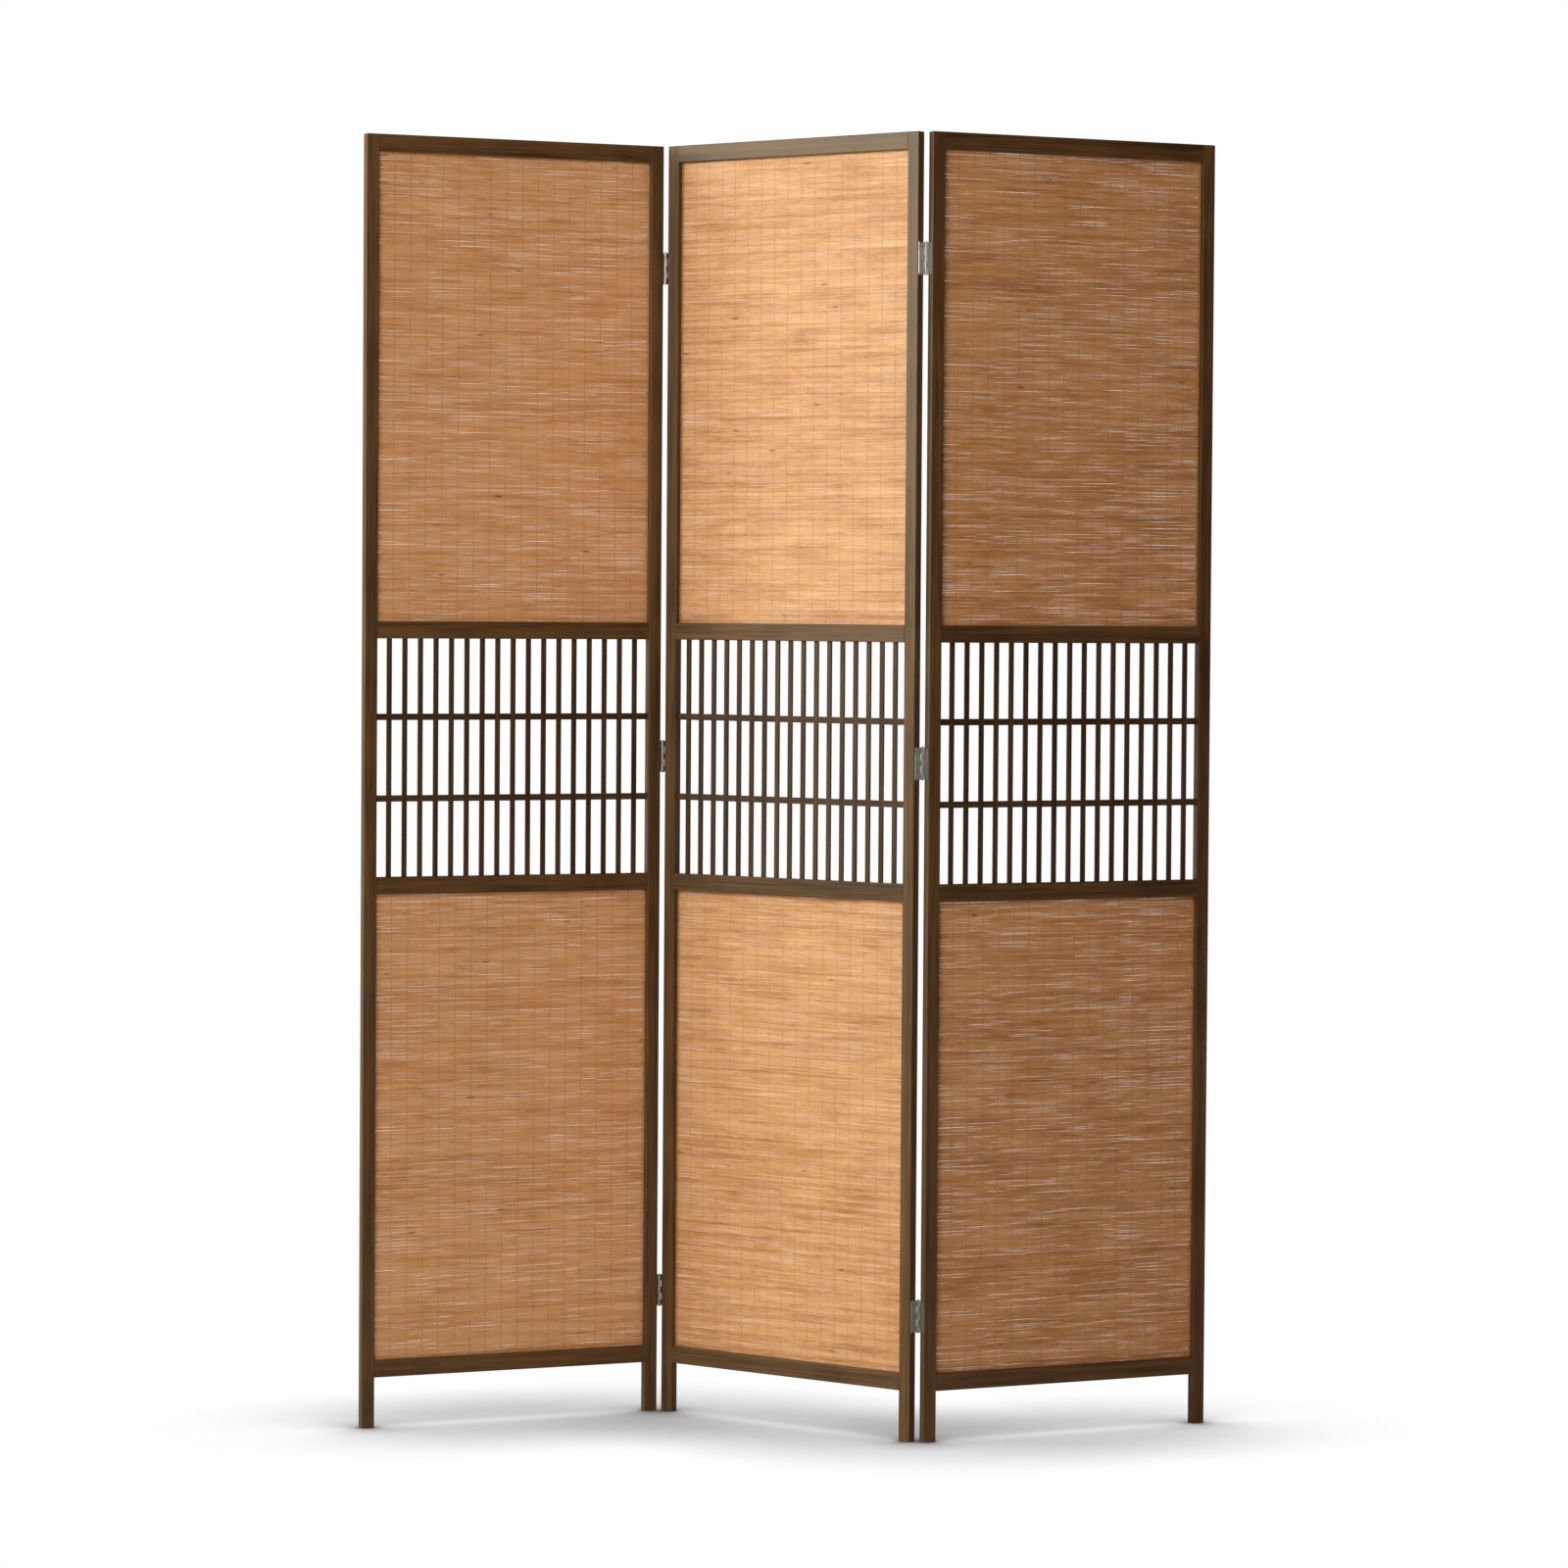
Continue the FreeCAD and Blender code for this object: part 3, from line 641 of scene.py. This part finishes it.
# %% [markdown]
# Making a mat uneven
#
# Each mat is a copy of the plain one with its own mesh. Split cane is never even, so the points of the
# copy are jittered by a fraction of a millimetre. That tilts the slivers' faces, and opens and closes the
# slits between neighbours, so that the white behind shows as short specks. Each sliver also gets a tone
# of its own, stored as an attribute that the finish reads. Two cloudy textures wait for Displace
# modifiers, which will let whole groups of slivers rise, sink and bulge together, with their threads.

# %% Helpers for uneven mats
JITTER = 0.22 * MM
SWAY, SWAY_SIZE = 1.6 * MM, 0.11
BULGE, BULGE_SIZE = 0.6 * MM, 0.2


def copy_of(thing, name):
    """A copy with its own mesh."""
    made = thing.copy()
    made.data = thing.data.copy()
    made.name = made.data.name = name
    bpy.context.scene.collection.objects.link(made)
    return made


def jitter(thing, seed):
    """Moves each point a little, the same way on each run."""
    use_only(thing)
    bpy.ops.object.mode_set(mode="EDIT")
    bpy.ops.mesh.select_all(action="SELECT")
    bpy.ops.transform.vertex_random(offset=JITTER, uniform=1.0, normal=0.0, seed=seed)
    bpy.ops.object.mode_set(mode="OBJECT")


def tone_slivers(thing, seed, painted_panel_light):
    """Stores a random tone for all points of a sliver, moved by its panel's painted light and shade."""
    chance = random.Random(seed)
    tones = [painted_panel_light + chance.random() for _ in range(sliver_count)]
    stored = thing.data.attributes.new("sliver_tone", "FLOAT", "POINT")
    stored.data.foreach_set("value", np.repeat(np.array(tones, np.float32), sliver_points))


def clouds(name, size):
    """A cloudy texture whose clouds have about the given size in metres."""
    texture = bpy.data.textures.new(name, "CLOUDS")
    texture.noise_scale = size
    return texture


sway = clouds("mat_sway", SWAY_SIZE)
bulge = clouds("mat_bulge", BULGE_SIZE)
print("clouds:", [texture.name for texture in (sway, bulge)])

# %% [markdown]
# Six mats in their grooves
#
# The left mat's tones are painted paler and the others darker, as painted light and shade for each panel.
# After its sway and bulge, the copy is turned to its panel and set where the plate of the frame is. It
# hangs a fraction of a millimetre high or low there, so that a sliver, and not a slit between two, shows
# along each rail.

# %% Hang the mats
# Painted light and shade: the sliver tones of each panel are raised or lowered for the light it gets.
PANEL_LIGHT_AND_SHADE = {"left_panel": 0.3, "middle_panel": -0.15, "right_panel": -0.35}
LIFT = {"upper_mat": 0.3 * MM, "lower_mat": -0.7 * MM}


def set_in_plate(thing, plate, lift):
    """Sways the mat, turns it to its panel and sets it at its plate, a little higher by the lift."""
    apply_modifier(thing, "DISPLACE", texture=sway, direction="Z", strength=SWAY, texture_coords="LOCAL")
    apply_modifier(thing, "DISPLACE", texture=bulge, direction="Y", strength=BULGE, texture_coords="LOCAL")
    use_only(thing)
    thing.rotation_euler = (0, 0, plate["turn"])
    thing.location = plate["middle"] + Vector((0, 0, lift))
    bpy.ops.object.transform_apply(location=True, rotation=True, scale=True)


for seed, (node, plate) in enumerate(plates.items(), start=1):
    panel = panel_of(node)
    field = node.removeprefix(f"{panel}_")
    weave = copy_of(plain_mat, f"{node}_slivers")
    jitter(weave, seed)
    tone_slivers(weave, seed, PANEL_LIGHT_AND_SHADE[panel])
    binding = copy_of(threads, f"{node}_threads")
    for piece, finish in ((weave, bamboo_finish), (binding, cotton_finish)):
        set_in_plate(piece, plate, LIFT[field])
        dress(piece, finish)
        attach(piece, panel)
    dress(nodes[node], bamboo_finish)
    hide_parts(node)
for pattern in (plain_mat, threads):
    bpy.data.objects.remove(pattern)
print("six mats of", sliver_count, "slivers")

# %% [markdown]
# Floor
#
# The screen stands on a plain white floor that runs into a white background. For rays from the camera the
# floor glows white and is only dimmed where the screen keeps light out, which Ambient Occlusion nodes
# find. One reaches far up the panels for the broad shade. The other only reaches the bottom rails and
# feet, because right under a panel the first one sees past both sides of it. Their product is squared, so
# that the shade gathers close to the screen. Mirrored rays see the floor white too, behind the screen,
# where it is the background. For all other rays it is plain pale paint, so that it sends ordinary light
# back up.

# %% Lay the floor
FLOOR_SIZE = 40
FLOOR_DROP = 0.2 * MM
FLOOR_PAINT = (0.75, 0.74, 0.72, 1)
WHITE = (1, 1, 1, 1)
DEEP_SHADE = (0.05, 0.05, 0.05, 1)
BROAD_SHADE, NEAR_SHADE = 0.34, 0.09
SHADE_RAYS = 16
BACKGROUND_START, BACKGROUND_FULL = 0.2, 1.2


def sees_white(tree, behind):
    """A number that is 1 for the camera's rays, and for mirrored ones as far as they go behind the screen."""
    camera_ray, glossy_ray, clear_ray = [
        tree.node("ShaderNodeLightPath", output=f"Is {kind} Ray")
        for kind in ("Camera", "Glossy", "Transmission")]
    return camera_ray + behind * (glossy_ray + clear_ray)


def white_floor(name):
    """Paint that glows white as background, but for the screen's shade, and is plain and pale elsewhere."""
    paint = Finish(name)
    paint.shade(Base_Color=FLOOR_PAINT, Roughness=0.8)
    place = paint.node("ShaderNodeTexCoord", output="Object")
    depth = paint.node("ShaderNodeSeparateXYZ", None, {"Vector": place}, output="Y")
    behind = paint.node("ShaderNodeMapRange", None, {
        "Value": depth, "From Min": BACKGROUND_START, "From Max": BACKGROUND_FULL})
    broad, near = [
        paint.node("ShaderNodeAmbientOcclusion", {"samples": SHADE_RAYS}, {"Distance": reach}, output="AO")
        for reach in (BROAD_SHADE, NEAR_SHADE)]
    open_sky = broad * near
    white = paint.node("ShaderNodeEmission", None, {"Color": WHITE, "Strength": 1.0})
    dim = paint.node("ShaderNodeEmission", None, {"Color": DEEP_SHADE, "Strength": 1.0})
    glow = paint.node("ShaderNodeMixShader", None, {0: open_sky * open_sky, 1: dim, 2: white})
    plain = Value(paint, paint.shader.outputs["BSDF"])
    surface = paint.node("ShaderNodeMixShader", None, {0: sees_white(paint, behind), 1: plain, 2: glow})
    paint.feed(paint.output.inputs["Surface"], surface)
    return paint.material


deselect_all()
bpy.ops.mesh.primitive_plane_add(size=FLOOR_SIZE, location=(0, 0, -FLOOR_DROP))
floor = bpy.context.object
floor.name = "floor"
dress(floor, white_floor("white_floor"))
print("floor of", FLOOR_SIZE, "m")

# %% [markdown]
# Lamps
#
# A broad soft lamp stands far to the left, almost in line with the left panel. Only the middle panel
# faces it, and it leaves a sheen there, weaker by the fold, where the left panel stands in its way. A
# warmer, weaker lamp in front lights the two outer panels. A lamp's power is worked out from its
# distance, so that a white face turned to it has the level that is asked for.

# %% Set the lamps
SCREEN_MIDDLE = Vector((0, 0, 0.9))


def soft_lamp(name, place, level, width, colour):
    """A round lamp that lights a white face turned to it, in the middle of the screen, to the given level."""
    reach = Vector(place) - SCREEN_MIDDLE
    light = bpy.data.lights.new(name, "AREA")
    light.shape = "DISK"
    light.size = width
    light.color = colour
    light.energy = level * math.pi ** 2 * reach.length_squared
    lamp = bpy.data.objects.new(name, light)
    lamp.location = place
    lamp.rotation_euler = reach.to_track_quat("Z", "Y").to_euler()
    lamp.visible_camera = False
    bpy.context.scene.collection.objects.link(lamp)
    print(name, "of", round(light.energy), "W")


soft_lamp("main_lamp", place=(-3.45, -1.05, 2.3), level=0.70, width=1.7, colour=(0.92, 1, 0.96))
soft_lamp("front_lamp", place=(-1.1, -3.7, 2.5), level=0.45, width=2.2, colour=(1, 0.87, 0.78))

# %% [markdown]
# Sky
#
# A dim warm sky fills the shade, brighter behind so that the back of the screen reads well. It is white
# to the camera, and white behind in reflections. How far a direction points behind is its part along Y.

# %% Fill the sky
FILL_FRONT, FILL_BACK = (0.09, 0.072, 0.058), (0.75, 0.69, 0.63)
BEHIND_START, BEHIND_FULL = 0.55, 0.95

studio = bpy.data.worlds.new("studio")
studio.use_nodes = True
bpy.context.scene.world = studio
sky = Nodes(studio.node_tree)
toward = sky.node("ShaderNodeTexCoord", output="Generated")
depth = sky.node("ShaderNodeSeparateXYZ", None, {"Vector": toward}, output="Y")
behind = sky.node("ShaderNodeMapRange", None, {
    "Value": depth, "From Min": BEHIND_START, "From Max": BEHIND_FULL})
fill = sky.node("ShaderNodeBackground", None, {"Color": sky.ramp(behind, [(0, FILL_FRONT), (1, FILL_BACK)])})
white = sky.node("ShaderNodeBackground", None, {"Color": WHITE})
sky.feed(sky.tree.nodes["World Output"].inputs["Surface"],
         sky.node("ShaderNodeMixShader", None, {0: sees_white(sky, behind), 1: fill, 2: white}))
print("sky of", len(sky.tree.nodes), "nodes")

# %% [markdown]
# Camera
#
# The photograph looks at the screen almost level and from far away with a long lens, a touch turned
# clockwise. The place, lens and tilts were worked out from edges of the panels, so the render can be laid
# over it.

# %% Set the camera
SENSOR_WIDTH = 36.0
LENS = 126.5
CAMERA_PLACE = (-0.0049, -7.701, 1.153)
TILT_DOWN, ROLL, PAN = 0.0327, 0.0068, 0.0003

camera_data = bpy.data.cameras.new("camera")
camera_data.sensor_width = SENSOR_WIDTH
camera_data.lens = LENS
camera = bpy.data.objects.new("camera", camera_data)
camera.location = CAMERA_PLACE
camera.rotation_euler = (math.pi / 2 - TILT_DOWN, -ROLL, PAN)
bpy.context.scene.collection.objects.link(camera)
bpy.context.scene.camera = camera
bpy.context.scene.view_settings.view_transform = "Standard"
print("camera of", camera_data.lens, "mm")
